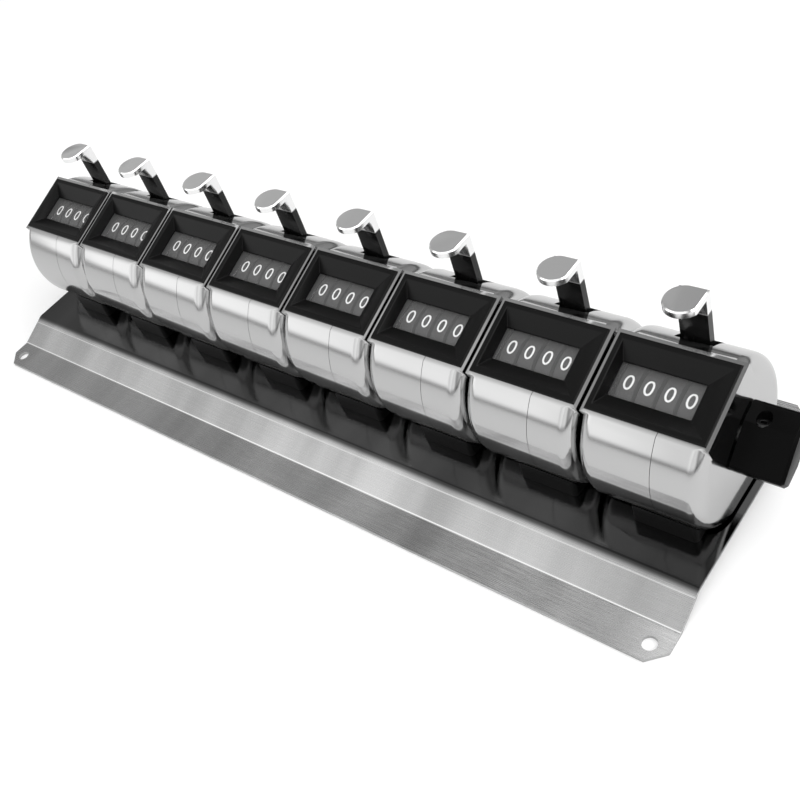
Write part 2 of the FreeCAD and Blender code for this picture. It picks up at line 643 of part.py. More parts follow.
def make_return_springs():
    """The close-wound springs from the lever lugs down to the low posts."""
    body = unit_body("return_springs", high=f"{DRUM_HIGH} + pivot_rise - lug_drop",
                     tilt=f"-atan({SPRING_FALL}/{SPRING_RUN})")
    body.setExpression("Placement.Base.y", bound("drum_setback - pivot_ahead"))
    coil = make_sketch(body, "coil", role="XZ_Plane", shift="-(lug_radius + spring_gap)")
    across = f"{PACK_RIGHT} + arm_gap + lever_gauge + lug_length/2"
    circle(coil, across, "0", "spring_radius")
    circle(coil, across, "0", "spring_radius - spring_wire")
    spring = pad(body, "spring_coil", coil,
                 f"sqrt({SPRING_RUN}^2 + {SPRING_FALL}^2) - lug_radius - post_radius - 2*spring_gap")
    spring.Reversed = True
    return repeat_along_row(body)


def make_lever():
    """One lever: two arms on the pin, a bridge behind the wheels, a channel stalk and the thumb pad."""
    body = DOC.addObject("PartDesign::Body", "lever")
    left_arm = f"-({PACK_LEFT} + arm_gap + lever_gauge)"
    right_arm = f"({PACK_RIGHT} + arm_gap)"
    arm = [("-pivot_ahead - arm_width/3", "pivot_rise + arm_width/3"),
           ("-pivot_ahead + arm_width/3", "pivot_rise - arm_width/3"),
           ("-arm_crest_ahead + arm_width/3", "arm_crest_rise - arm_width/2"),
           ("arm_top_back", "arm_top_rise - arm_width/2"),
           ("bridge_back", "bridge_rise - arm_width/2"),
           ("bridge_back", "bridge_rise + arm_width/2"),
           ("arm_top_back", "arm_top_rise + arm_width/2"),
           ("-arm_crest_ahead - arm_width/3", "arm_crest_rise + arm_width/2")]
    for name, start in (("left", left_arm), ("right", right_arm)):
        outline = polygon(make_sketch(body, f"{name}_arm_outline", shift=start), arm)
        pad(body, f"{name}_arm", outline, "lever_gauge")
        eye = circle(make_sketch(body, f"{name}_eye_outline", shift=start),
                     "-pivot_ahead", "pivot_rise", "eye_radius")
        pad(body, f"{name}_eye", eye, "lever_gauge")
    tail = rectangle(make_sketch(body, "tail_outline", shift=right_arm),
                     "-pivot_ahead - lug_radius", "-pivot_ahead + lug_radius",
                     "pivot_rise - lug_drop - lug_radius", "pivot_rise")
    pad(body, "tail", tail, "lever_gauge")
    lug = circle(make_sketch(body, "lug_outline", shift=right_arm),
                 "-pivot_ahead", "pivot_rise - lug_drop", "lug_radius")
    pad(body, "spring_lug", lug, "lever_gauge + lug_length")
    bridge = rectangle(make_sketch(body, "bridge_outline", shift=left_arm),
                       "bridge_back - lever_gauge/2", "bridge_back + lever_gauge/2",
                       "bridge_rise - bridge_high/2", "bridge_rise + bridge_high/2")
    pad(body, "bridge", bridge, f"{PACK_LEFT} + {PACK_RIGHT} + 2*arm_gap + 2*lever_gauge")
    for number, middle in enumerate(slot_middles()):
        finger = rectangle(make_sketch(body, f"pawl_outline_{number}", shift=f"{middle} - finger_width/2"),
                           "bridge_back - pawl_reach", "bridge_back", "bridge_rise - bridge_high/2",
                           "bridge_rise - bridge_high/2 + pawl_high")
        pad(body, f"pawl_{number}", finger, "finger_width")

    def stalk_part(name, start, width, front, rear):
        outline = make_sketch(body, f"{name}_outline", shift=start, side="bridge_back", up="bridge_rise")
        pad(body, name, rectangle(outline, front, rear, "bridge_high/3", "stalk_length"), width)

    stalk_left = "stalk_offset - stalk_width/2"
    stalk_right = "stalk_offset + stalk_width/2"
    stalk_part("stalk_web", stalk_left, "stalk_width", "-stalk_deep/2", "lever_gauge - stalk_deep/2")
    stalk_part("left_flange", stalk_left, "lever_gauge", "-stalk_deep/2", "stalk_deep/2")
    stalk_part("right_flange", f"{stalk_right} - lever_gauge", "lever_gauge",
               "-stalk_deep/2", "stalk_deep/2")
    thumb_pad(body, stalk_right)
    holes = circle(make_sketch(body, "pin_holes", shift=left_arm), "-pivot_ahead", "pivot_rise",
                   "pin_radius + running_gap")
    cut(body, "pin_ways", holes, f"{PACK_LEFT} + {PACK_RIGHT} + 2*arm_gap + 2*lever_gauge")
    return body


def thumb_pad(body, right_edge):
    """The pad: three quarters of its edge round, square at its rear right corner."""
    height = "(bridge_rise + stalk_length + pad_over - pad_gauge)"
    middle = f"({right_edge} - pad_width + pad_radius)"
    back = "(bridge_back + stalk_deep/2 - pad_radius)"
    centre = Vector(value_of(middle), value_of(back), 0)
    radius, right = size("pad_radius"), value_of(right_edge)
    front_right = Vector(right, centre.y - (radius**2 - (right - centre.x)**2) ** 0.5, 0)
    rear = centre + Vector(0, radius, 0)
    corner = Vector(right, rear.y, 0)
    outline = make_sketch(body, "pad_outline", role="XY_Plane", shift=height)
    arc = outline.addGeometry(Part.Arc(rear, centre - Vector(radius, 0, 0), front_right), False)
    side = outline.addGeometry(Part.LineSegment(front_right, corner), False)
    rear_line = outline.addGeometry(Part.LineSegment(corner, rear), False)
    pin_point(outline, arc, 3, (middle, back))
    for first, second in (((arc, 2), (side, 1)), ((side, 2), (rear_line, 1)), ((rear_line, 2), (arc, 1))):
        outline.addConstraint(Sketcher.Constraint("Coincident", *first, *second))
    outline.addConstraint(Sketcher.Constraint("Vertical", side))
    outline.addConstraint(Sketcher.Constraint("Horizontal", rear_line))
    pin_point(outline, side, 2, (right_edge, f"{back} + pad_radius"))
    index = outline.addConstraint(Sketcher.Constraint("DistanceX", -1, 1, arc, 1, value_of(middle)))
    outline.setExpression(f"Constraints[{index}]", bound(middle))
    pad(body, "thumb_pad", outline, "pad_gauge")
    top = value_of(f"{height} + pad_gauge")
    dress(body, "Chamfer", "pad_bevel", "pad_edge",
          lambda item: lies_at(item.BoundBox.ZMin, item.BoundBox.ZMax, top))


def make_number_wheel():
    """One number wheel: a rim, a bore and a ten-tooth ratchet at its left."""
    body = DOC.addObject("PartDesign::Body", "number_wheel")
    left = "(wheel_pitch - wheel_gap)/2"
    teeth = []
    for tooth in range(TEETH):
        turn = tooth * TOOTH_TURN
        teeth.append((f"ratchet_tip*cos({turn})", f"ratchet_tip*sin({turn})"))
        turn += TOOTH_FACE
        teeth.append((f"ratchet_root*cos({turn})", f"ratchet_root*sin({turn})"))
    ratchet = polygon(make_sketch(body, "ratchet_outline", shift="-" + left), teeth)
    pad(body, "ratchet", ratchet, "ratchet_width")
    rim = circle(make_sketch(body, "rim_outline", shift=f"ratchet_width - {left}"), "0", "0", "wheel_radius")
    pad(body, "rim", rim, "wheel_pitch - wheel_gap - ratchet_width")
    bore = circle(make_sketch(body, "bore_outline", shift="-" + left),
                  "0", "0", "shaft_radius + running_gap")
    cut(body, "bore", bore, "wheel_pitch - wheel_gap")
    return body


def place_copy(master, label, across, back, high):
    """A sub-part made from a finished body, at its own place."""
    copy = DOC.addObject("Part::Compound", label)
    copy.Label = label
    copy.Links = [master]
    for axis, text in (("x", across), ("y", back), ("z", high)):
        copy.setExpression(f"Placement.Base.{axis}", bound(text))
    return copy


SHAFT_LEFT = f"({LAST_UNIT} + {DRUM_LEFT} + clip_gap + clip_gauge + clip_stub)"
KNOB_LEFT = f"({LAST_UNIT} + {DRUM_RIGHT} + knob_gap)"


def make_reset_shaft():
    """The shaft through every counter, grooved along its length for the wheels' pick-up pawls."""
    body = make_body("reset_shaft", high=AXLE_HIGH)
    length = f"{SHAFT_LEFT} + {KNOB_LEFT} + knob_length - shaft_short"
    rod = circle(make_sketch(body, "rod_section", shift="-" + SHAFT_LEFT), "0", "0", "shaft_radius")
    pad(body, "rod", rod, length)
    groove = rectangle(make_sketch(body, "groove_section", shift="-" + SHAFT_LEFT),
                       "-pickup_width/2", "pickup_width/2",
                       "shaft_radius - pickup_deep", "shaft_radius + pickup_deep")
    cut(body, "pickup_groove", groove, f"{SHAFT_LEFT} + {KNOB_LEFT} - knob_gap")
    return body


def make_shaft_clip():
    """The clip that keeps the shaft from sliding out to the right."""
    body = make_body("shaft_clip", high=AXLE_HIGH)
    ring = make_sketch(body, "ring", shift=f"clip_stub - {SHAFT_LEFT}")
    circle(ring, "0", "0", "clip_radius")
    circle(ring, "0", "0", "shaft_radius + running_gap")
    pad(body, "clip", ring, "clip_gauge")
    return body


def make_reset_knob():
    """The bar-shaped knob, with a crease along each broad face and a set screw hole."""
    body = make_body("reset_knob", high=AXLE_HIGH, tilt="knob_angle")
    half = [("-knob_half_width", "knob_edge_half"), ("knob_crest_shift", "knob_crest_half"),
            ("knob_half_width", "knob_edge_half")]
    outline = half + [(f"-({side})", f"-{up}") for side, up in half]
    section = polygon(make_sketch(body, "bar_section", shift=KNOB_LEFT), outline[::-1])
    pad(body, "bar", section, "knob_length")

    def narrow_edge(item):
        side = abs(item.CenterOfMass.y)
        return runs_along(item, ROW) and abs(side - size("knob_half_width")) < CLOSE

    dress(body, "Fillet", "bar_edges", "knob_edge", narrow_edge)
    end = value_of(f"{KNOB_LEFT} + knob_length")
    dress(body, "Chamfer", "end_bevel", "knob_end_bevel",
          lambda item: lies_at(item.BoundBox.XMin, item.BoundBox.XMax, end))
    bore = circle(make_sketch(body, "bore_section", shift=KNOB_LEFT),
                  "0", "0", "shaft_radius + running_gap")
    cut(body, "shaft_bore", bore, "knob_length - shaft_short")
    way = body.newObject("PartDesign::SubtractiveCylinder", "set_screw_hole")
    way.Placement = Placement(Vector(), Rotation(Vector(1, 0, 0), -1))
    way.setExpression("Placement.Rotation.Angle", bound("set_screw_angle - 90"))
    way.setExpression("Placement.Base.x", bound(f"{KNOB_LEFT} + set_screw_inset"))
    way.setExpression("Radius", bound("set_screw_dia/2"))
    way.setExpression("Height", bound("knob_half_width"))
    return body


def make_set_screw():
    """The socket screw that holds the knob on the shaft."""
    body = make_body("knob_set_screw", across=f"{KNOB_LEFT} + set_screw_inset", high=AXLE_HIGH,
                     tilt="knob_angle + set_screw_angle - 90")
    foot = "(shaft_radius + running_gap)"
    screw = circle(make_sketch(body, "screw", role="XY_Plane", shift=foot), "0", "0",
                   "set_screw_dia/2 - running_gap")
    pad(body, "set_screw", screw, "set_screw_length")
    socket = [(f"set_screw_key/2*cos({turn})", f"set_screw_key/2*sin({turn})") for turn in range(0, 360, 60)]
    key = polygon(make_sketch(body, "socket", role="XY_Plane",
                              shift=f"{foot} + set_screw_length - set_screw_key_deep"), socket)
    cut(body, "hexagon_socket", key, "set_screw_key_deep")
    return body


def make_parts():
    """Every sub-part of the object, in the order of its assembly."""
    parts = [make_base_plate(), make_feet(), make_foot_screws(), make_nut_bars(),
             make_shells("left_shells", "-"), make_shells("right_shells", "+"),
             make_bezels(), make_window_panes(),
             make_side_plates("left_side_plates", f"-({PLATE_LEFT} + plate_gauge)"),
             make_side_plates("right_side_plates", PLATE_RIGHT),
             make_frame_posts(), make_lever_pins(), make_wheel_spacers(), make_detent_combs(),
             make_return_springs(), make_reset_shaft(), make_shaft_clip(), make_reset_knob(),
             make_set_screw()]
    lever, wheel = make_lever(), make_number_wheel()
    ranks = ["thousands", "hundreds", "tens", "units"]
    for unit in range(int(size("units_count"))):
        across = f"{unit}*pitch - {LAST_UNIT}"
        parts.append(place_copy(lever, f"lever_{unit + 1}", across, "drum_setback", DRUM_HIGH))
        for rank in range(int(size("wheels_count"))):
            name = ranks[rank] if rank < len(ranks) else f"rank_{rank + 1}"
            middle = f"{across} - pack_offset + ({rank} - (wheels_count - 1)/2)*wheel_pitch"
            parts.append(place_copy(wheel, f"wheel_{unit + 1}_{name}", middle, "drum_setback", AXLE_HIGH))
    return parts


def check_document(parts):
    """Stops with a plain message if anything failed to build."""
    for item in DOC.Objects:
        faults = [state for state in item.State if state in ("Invalid", "Error")]
        if faults:
            raise ValueError(f"{item.Label}: {', '.join(faults)}")
    for part in parts:
        if part.Shape.isNull() or not part.Shape.isValid():
            raise ValueError(f"{part.Label}: no sound shape")


def write_parts(parts):
    """Writes one file for each sub-part."""
    os.makedirs("parts", exist_ok=True)
    for part in parts:
        part.Shape.exportStep(f"parts/{part.Label}.step")


ALL_PARTS = make_parts()
DOC.recompute()
check_document(ALL_PARTS)
write_parts(ALL_PARTS)
print(len(ALL_PARTS), "sub-parts,", sum(len(part.Shape.Solids) for part in ALL_PARTS), "solids")
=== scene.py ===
"""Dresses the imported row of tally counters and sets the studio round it."""

import json
import logging
import math
from dataclasses import dataclass, field
from enum import Enum

import bmesh
import bpy
from mathutils import Matrix, Quaternion, Vector


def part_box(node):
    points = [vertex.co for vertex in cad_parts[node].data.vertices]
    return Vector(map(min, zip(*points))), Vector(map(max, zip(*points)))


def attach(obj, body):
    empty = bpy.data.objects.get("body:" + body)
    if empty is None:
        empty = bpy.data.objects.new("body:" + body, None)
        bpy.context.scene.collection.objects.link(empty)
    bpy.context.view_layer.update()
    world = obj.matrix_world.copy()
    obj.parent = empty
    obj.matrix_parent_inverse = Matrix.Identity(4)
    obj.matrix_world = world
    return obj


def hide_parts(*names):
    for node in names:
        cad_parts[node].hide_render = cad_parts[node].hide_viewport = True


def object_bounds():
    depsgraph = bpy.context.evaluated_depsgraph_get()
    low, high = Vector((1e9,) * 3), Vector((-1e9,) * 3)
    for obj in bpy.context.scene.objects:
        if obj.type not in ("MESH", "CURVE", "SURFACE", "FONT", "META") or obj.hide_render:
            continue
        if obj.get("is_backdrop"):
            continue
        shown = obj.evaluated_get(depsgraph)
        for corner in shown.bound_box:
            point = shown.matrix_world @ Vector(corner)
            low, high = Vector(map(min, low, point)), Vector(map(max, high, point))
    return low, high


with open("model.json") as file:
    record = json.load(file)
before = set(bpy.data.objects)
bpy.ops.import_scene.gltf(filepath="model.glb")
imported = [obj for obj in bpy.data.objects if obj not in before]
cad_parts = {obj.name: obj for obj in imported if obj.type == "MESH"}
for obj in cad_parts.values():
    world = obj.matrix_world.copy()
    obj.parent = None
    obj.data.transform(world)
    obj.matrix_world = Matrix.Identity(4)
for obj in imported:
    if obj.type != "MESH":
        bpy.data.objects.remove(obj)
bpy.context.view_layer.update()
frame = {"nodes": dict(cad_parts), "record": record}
LOG = logging.getLogger("tally_counters")
MM = 0.001

UNITS = 8
FIGURES = 10
WINDOW_TILT = math.radians(19.5)

METAL = 1.0
MOULDED = 0.0
FINE_STEPS = 3


class Rank(Enum):
    """The four number wheels of a counter, from left to right."""

    THOUSANDS = "thousands"
    HUNDREDS = "hundreds"
    TENS = "tens"
    UNITS = "units"


def body_of_node(node: str) -> str:
    """Finds the moving body that a node belongs to.

    Args:
        node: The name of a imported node.

    Returns:
        The name of its body.
    """
    bodies = frame["record"]["behaviour"]["bodies"]
    return next(body for body, nodes in bodies.items() if node in nodes)


def slot_of_node(node: str) -> str:
    """Finds the material slot that the record gives a node.

    Args:
        node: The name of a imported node.

    Returns:
        The name of the slot.
    """
    return next(part["material_slot"] for part in frame["record"]["subparts"] if part["node"] == node)


def link(name: str, mesh: bpy.types.Mesh) -> bpy.types.Object:
    """Puts a mesh into the scene as an object at the origin.

    Args:
        name: The object's name.
        mesh: Its mesh.

    Returns:
        The new object.
    """
    item = bpy.data.objects.new(name, mesh)
    bpy.context.scene.collection.objects.link(item)
    return item


def grey(level: float) -> tuple[float, float, float, float]:
    """Gives an opaque neutral colour of one brightness."""
    return (level, level, level, 1.0)


@dataclass
class ShaderGroups:
    """The effects that several finishes share, each built once as a node group."""

    cloud_detail: float = 4.0
    cloud_span: tuple[float, float] = (0.35, 0.7)
    line_detail: float = 2.0
    line_span: tuple[float, float] = (0.3, 0.7)
    line_stretch: tuple[float, float, float] = (0.012, 1.0, 1.0)

    def __post_init__(self) -> None:
        """Builds the groups."""
        self.smudge = self._build_smudge()
        self.brushing = self._build_brushing()
        self.rise = self._build_rise()
        self.band = self._build_band()

    @staticmethod
    def _start(name: str, inputs: dict[str, float], outputs: list[str]) -> bpy.types.NodeTree:
        """Starts a group with a vector input and named number sockets.

        Args:
            name: The group's name.
            inputs: Number inputs and their usual values.
            outputs: Number outputs.

        Returns:
            The group's node tree, which holds its input and output nodes.
        """
        tree = bpy.data.node_groups.new(name, "ShaderNodeTree")
        tree.interface.new_socket("Vector", in_out="INPUT", socket_type="NodeSocketVector")
        for label, value in inputs.items():
            socket = tree.interface.new_socket(label, in_out="INPUT", socket_type="NodeSocketFloat")
            socket.default_value = value
        for label in outputs:
            tree.interface.new_socket(label, in_out="OUTPUT", socket_type="NodeSocketFloat")
        tree.nodes.new("NodeGroupInput")
        tree.nodes.new("NodeGroupOutput")
        return tree

    def _build_smudge(self) -> bpy.types.NodeTree:
        """Builds soft handling marks: a value that drifts between two limits.

        Returns:
            The group.
        """
        tree = self._start("smudge", {"Scale": 40.0, "Low": 0.08, "High": 0.14}, ["Value"])
        enter, leave = tree.nodes["Group Input"], tree.nodes["Group Output"]
        cloud = tree.nodes.new("ShaderNodeTexNoise")
        cloud.inputs["Detail"].default_value = self.cloud_detail
        spread = tree.nodes.new("ShaderNodeMapRange")
        spread.inputs["From Min"].default_value = self.cloud_span[0]
        spread.inputs["From Max"].default_value = self.cloud_span[1]
        tree.links.new(enter.outputs["Vector"], cloud.inputs["Vector"])
        tree.links.new(enter.outputs["Scale"], cloud.inputs["Scale"])
        tree.links.new(cloud.outputs["Fac"], spread.inputs["Value"])
        tree.links.new(enter.outputs["Low"], spread.inputs["To Min"])
        tree.links.new(enter.outputs["High"], spread.inputs["To Max"])
        tree.links.new(spread.outputs["Result"], leave.inputs["Value"])
        return tree

    def _build_brushing(self) -> bpy.types.NodeTree:
        """Builds fine lines along the row.

        Returns:
            The group, with a value for roughness and a height for bump.
        """
        tree = self._start("brushing", {"Fineness": 6000.0, "Low": 0.2, "High": 0.36},
                           ["Value", "Height"])
        enter, leave = tree.nodes["Group Input"], tree.nodes["Group Output"]
        stretch = tree.nodes.new("ShaderNodeVectorMath")
        stretch.operation = "MULTIPLY"
        stretch.inputs[1].default_value = self.line_stretch
        lines = tree.nodes.new("ShaderNodeTexNoise")
        lines.inputs["Detail"].default_value = self.line_detail
        spread = tree.nodes.new("ShaderNodeMapRange")
        spread.inputs["From Min"].default_value = self.line_span[0]
        spread.inputs["From Max"].default_value = self.line_span[1]
        tree.links.new(enter.outputs["Vector"], stretch.inputs[0])
        tree.links.new(stretch.outputs["Vector"], lines.inputs["Vector"])
        tree.links.new(enter.outputs["Fineness"], lines.inputs["Scale"])
        tree.links.new(lines.outputs["Fac"], spread.inputs["Value"])
        tree.links.new(enter.outputs["Low"], spread.inputs["To Min"])
        tree.links.new(enter.outputs["High"], spread.inputs["To Max"])
        tree.links.new(spread.outputs["Result"], leave.inputs["Value"])
        tree.links.new(lines.outputs["Fac"], leave.inputs["Height"])
        return tree

    def _build_rise(self) -> bpy.types.NodeTree:
        """Builds a mask that goes from nought to one between two heights.

        Returns:
            The group.
        """
        tree = self._start("rise", {"Bottom": 0.0, "Top": 1.0}, ["Value"])
        enter, leave = tree.nodes["Group Input"], tree.nodes["Group Output"]
        split = tree.nodes.new("ShaderNodeSeparateXYZ")
        spread = tree.nodes.new("ShaderNodeMapRange")
        spread.interpolation_type = "SMOOTHSTEP"
        tree.links.new(enter.outputs["Vector"], split.inputs["Vector"])
        tree.links.new(split.outputs["Z"], spread.inputs["Value"])
        tree.links.new(enter.outputs["Bottom"], spread.inputs["From Min"])
        tree.links.new(enter.outputs["Top"], spread.inputs["From Max"])
        tree.links.new(spread.outputs["Result"], leave.inputs["Value"])
        return tree

    def _build_band(self) -> bpy.types.NodeTree:
        """Builds a mask that is one in a thin band of height and fades out below and above it.

        Returns:
            The group.
        """
        tree = self._start("band", {"Middle": 0.0, "Half": 1.0}, ["Value"])
        enter, leave = tree.nodes["Group Input"], tree.nodes["Group Output"]
        split = tree.nodes.new("ShaderNodeSeparateXYZ")
        offset = tree.nodes.new("ShaderNodeMath")
        offset.operation = "SUBTRACT"
        distance = tree.nodes.new("ShaderNodeMath")
        distance.operation = "ABSOLUTE"
        fade = tree.nodes.new("ShaderNodeMapRange")
        fade.interpolation_type = "SMOOTHSTEP"
        fade.inputs["To Min"].default_value = 1.0
        fade.inputs["To Max"].default_value = 0.0
        tree.links.new(enter.outputs["Vector"], split.inputs["Vector"])
        tree.links.new(split.outputs["Z"], offset.inputs[0])
        tree.links.new(enter.outputs["Middle"], offset.inputs[1])
        tree.links.new(offset.outputs["Value"], distance.inputs[0])
        tree.links.new(distance.outputs["Value"], fade.inputs["Value"])
        tree.links.new(enter.outputs["Half"], fade.inputs["From Max"])
        tree.links.new(fade.outputs["Result"], leave.inputs["Value"])
        return tree


@dataclass(frozen=True)
class Finish:
    """A plain surface: its brightness, how metallic it is and how it shines."""

    name: str
    level: float
    metallic: float
    roughness: float
    specular: float = 0.5

    def build(self, groups: ShaderGroups) -> bpy.types.Material:
        """Makes the material.

        Args:
            groups: The shared node groups.

        Returns:
            The material.
        """
        material = bpy.data.materials.new(self.name)
        material.use_nodes = True
        shader = material.node_tree.nodes["Principled BSDF"]
        shader.inputs["Base Color"].default_value = grey(self.level)
        shader.inputs["Metallic"].default_value = self.metallic
        shader.inputs["Roughness"].default_value = self.roughness
        shader.inputs["Specular IOR Level"].default_value = self.specular
        material.diffuse_color = grey(self.level)
        self.detail(material, shader, groups)
        return material

    def detail(self, material: bpy.types.Material, shader: bpy.types.Node, groups: ShaderGroups) -> None:
        """Adds nothing: a plain finish is the same all over."""

    @staticmethod
    def place_group(material: bpy.types.Material, group: bpy.types.NodeTree, values: dict[str, float],
                    stretch: tuple[float, float, float] = (1.0, 1.0, 1.0)) -> bpy.types.Node:
        """Places a shared group in a material, on the object's own coordinates.

        Args:
            material: The material.
            group: The group to place.
            values: The values of its inputs.
            stretch: What the coordinates are multiplied by.

        Returns:
            The group's node.
        """
        tree = material.node_tree
        place = tree.nodes.new("ShaderNodeTexCoord")
        scale = tree.nodes.new("ShaderNodeVectorMath")
        scale.operation = "MULTIPLY"
        scale.inputs[1].default_value = stretch
        node = tree.nodes.new("ShaderNodeGroup")
        node.node_tree = group
        for label, value in values.items():
            node.inputs[label].default_value = value
        tree.links.new(place.outputs["Object"], scale.inputs[0])
        tree.links.new(scale.outputs["Vector"], node.inputs["Vector"])
        return node


@dataclass(frozen=True)
class PolishedFinish(Finish):
    """A polished surface whose gloss drifts a little, as handled metal and plastic do."""

    drift: float = 0.05
    scale: float = 40.0

    def detail(self, material: bpy.types.Material, shader: bpy.types.Node, groups: ShaderGroups) -> None:
        """Lets the roughness drift between two values.

        Args:
            material: The material.
            shader: Its main shader.
            groups: The shared node groups.
        """
        marks = self.place_group(material, groups.smudge, {
            "Scale": self.scale, "Low": self.roughness, "High": self.roughness + self.drift})
        material.node_tree.links.new(marks.outputs["Value"], shader.inputs["Roughness"])


@dataclass(frozen=True)
class BrushedFinish(Finish):
    """Sheet brushed along the row, with painted highlights along its folds and painted shade on its
    polished deck under the drums.
    """

    spread: float = 0.2
    line_strength: float = 0.05
    line_depth: float = 0.2 * MM
    cloud_scale: float = 34.0
    cloud_low: float = 0.62
    cloud_stretch: tuple[float, float, float] = (1.0, 0.15, 0.15)
    # The deck is painted darker, as painted shade and dark reflection under the drums, and is made
    # glossier.
    deck_level: float = 0.09
    deck_low: float = 5.6 * MM
    deck_high: float = 6.5 * MM
    deck_gloss: float = 0.3
    # Painted highlights: thin bright bands of colour along the lower and upper folds, given as height
    # and level.
    fold_half: float = 0.15 * MM
    low_fold: tuple[float, float] = (1.36 * MM, 1.0)
    high_fold: tuple[float, float] = (5.45 * MM, 0.74)

    def detail(self, material: bpy.types.Material, shader: bpy.types.Node, groups: ShaderGroups) -> None:
        """Draws the brush lines, clouds the sheet, paints shade on the deck and paints highlights along
        the folds.

        Args:
            material: The material.
            shader: Its main shader.
            groups: The shared node groups.
        """
        tree = material.node_tree
        lines = self.place_group(material, groups.brushing, {
            "Low": self.roughness, "High": self.roughness + self.spread})
        bump = tree.nodes.new("ShaderNodeBump")
        bump.inputs["Strength"].default_value = self.line_strength
        bump.inputs["Distance"].default_value = self.line_depth
        deck = self.place_group(material, groups.rise, {"Bottom": self.deck_low, "Top": self.deck_high})
        # Painted shade: above the deck height the sheet's colour falls to the darker deck level.
        tone = tree.nodes.new("ShaderNodeMapRange")
        tone.inputs["To Min"].default_value = self.level
        tone.inputs["To Max"].default_value = self.deck_level
        dull = tree.nodes.new("ShaderNodeMapRange")
        dull.inputs["To Min"].default_value = 1.0
        dull.inputs["To Max"].default_value = self.deck_gloss
        gloss = tree.nodes.new("ShaderNodeMath")
        gloss.operation = "MULTIPLY"
        clouds = self.place_group(material, groups.smudge, {
            "Scale": self.cloud_scale, "Low": self.cloud_low, "High": 1.0}, self.cloud_stretch)
        shade = tree.nodes.new("ShaderNodeMath")
        shade.operation = "MULTIPLY"
        tree.links.new(deck.outputs["Value"], tone.inputs["Value"])
        tree.links.new(tone.outputs["Result"], shade.inputs[0])
        tree.links.new(clouds.outputs["Value"], shade.inputs[1])
        colour = shade.outputs["Value"]
        # Painted highlights along the folds: the colour is raised towards each level in a thin band.
        for height, level in (self.low_fold, self.high_fold):
            fold = self.place_group(material, groups.band, {"Middle": height, "Half": self.fold_half})
            bright = tree.nodes.new("ShaderNodeMapRange")
            bright.inputs["To Max"].default_value = level
            tree.links.new(fold.outputs["Value"], bright.inputs["Value"])
            tree.links.new(colour, bright.inputs["To Min"])
            colour = bright.outputs["Result"]
        tree.links.new(colour, shader.inputs["Base Color"])
        tree.links.new(deck.outputs["Value"], dull.inputs["Value"])
        tree.links.new(lines.outputs["Value"], gloss.inputs[0])
        tree.links.new(dull.outputs["Result"], gloss.inputs[1])
        tree.links.new(gloss.outputs["Value"], shader.inputs["Roughness"])
        tree.links.new(lines.outputs["Height"], bump.inputs["Height"])
        tree.links.new(bump.outputs["Normal"], shader.inputs["Normal"])


@dataclass(frozen=True)
class LeverFinish(PolishedFinish):
    """A bright lever whose lower stalk is painted black, as painted shade and dark reflection where it
    comes out of the drum.
    """

    # Painted shade: below these heights the stalk is black and not metallic, standing in for the shade
    # and dark reflection where it leaves the drum.
    black_level: float = 0.006
    black_top: float = 58.7 * MM
    bright_from: float = 59.3 * MM

    def detail(self, material: bpy.types.Material, shader: bpy.types.Node, groups: ShaderGroups) -> None:
        """Paints the lower stalk black as painted shade and dark reflection, and lets the gloss drift as
        on any polished finish.

        Args:
            material: The material.
            shader: Its main shader.
            groups: The shared node groups.
        """
        super().detail(material, shader, groups)
        tree = material.node_tree
        above = self.place_group(material, groups.rise, {
            "Bottom": self.black_top, "Top": self.bright_from})
        # Painted shade on the lower stalk.
        tone = tree.nodes.new("ShaderNodeMapRange")
        tone.inputs["To Min"].default_value = self.black_level
        tone.inputs["To Max"].default_value = self.level
        tree.links.new(above.outputs["Value"], tone.inputs["Value"])
        tree.links.new(tone.outputs["Result"], shader.inputs["Base Color"])
        tree.links.new(above.outputs["Value"], shader.inputs["Metallic"])


@dataclass(frozen=True)
class ClearFinish(Finish):
    """A thin clear pane that lets light through to what is behind it."""

    alpha: float = 0.05

    def detail(self, material: bpy.types.Material, shader: bpy.types.Node, groups: ShaderGroups) -> None:
        """Makes the pane nearly clear.

        Args:
            material: The material; not used.
            shader: Its main shader.
            groups: The shared node groups; not used.
        """
        shader.inputs["Alpha"].default_value = self.alpha


class Finishes:
    """Every finish of the object, by material slot."""

    def __init__(self) -> None:
        """Builds one material for each slot, and the white of the figures."""
        groups = ShaderGroups()
        # By slot: the finish's name, its brightness, how metallic it is and its roughness
        table = {
            "stainless_sheet": BrushedFinish("stainless sheet", 0.66, METAL, 0.17),
            "black_moulding": PolishedFinish("black moulding", 0.005, MOULDED, 0.3, specular=0.2),
            # Screw steel is near black as painted shade, so the set screw deep in the knob's hole reads
            # dark.
            "screw_steel": Finish("screw steel", 0.06, METAL, 0.35),
            "chromed_shell": PolishedFinish("chromed shell", 0.54, METAL, 0.1),
            "window_frame": PolishedFinish("window frame", 0.004, MOULDED, 0.3, specular=0.15),
            "clear_pane": ClearFinish("clear pane", 0.9, MOULDED, 0.03),
            "chromed_lever": LeverFinish("chromed lever", 0.95, METAL, 0.12, specular=0.3),
            "mechanism_steel": Finish("mechanism steel", 0.5, METAL, 0.35),
            "wheel_black": Finish("wheel black", 0.03, MOULDED, 0.5, specular=0.3),
            "shaft_steel": Finish("shaft steel", 0.55, METAL, 0.25),
            "knob_black": PolishedFinish("knob black", 0.002, MOULDED, 0.22, specular=0.05),
        }
        self.by_slot = {slot: finish.build(groups) for slot, finish in table.items()}
        self.figure_white = Finish("figure white", 0.85, MOULDED, 0.5).build(groups)


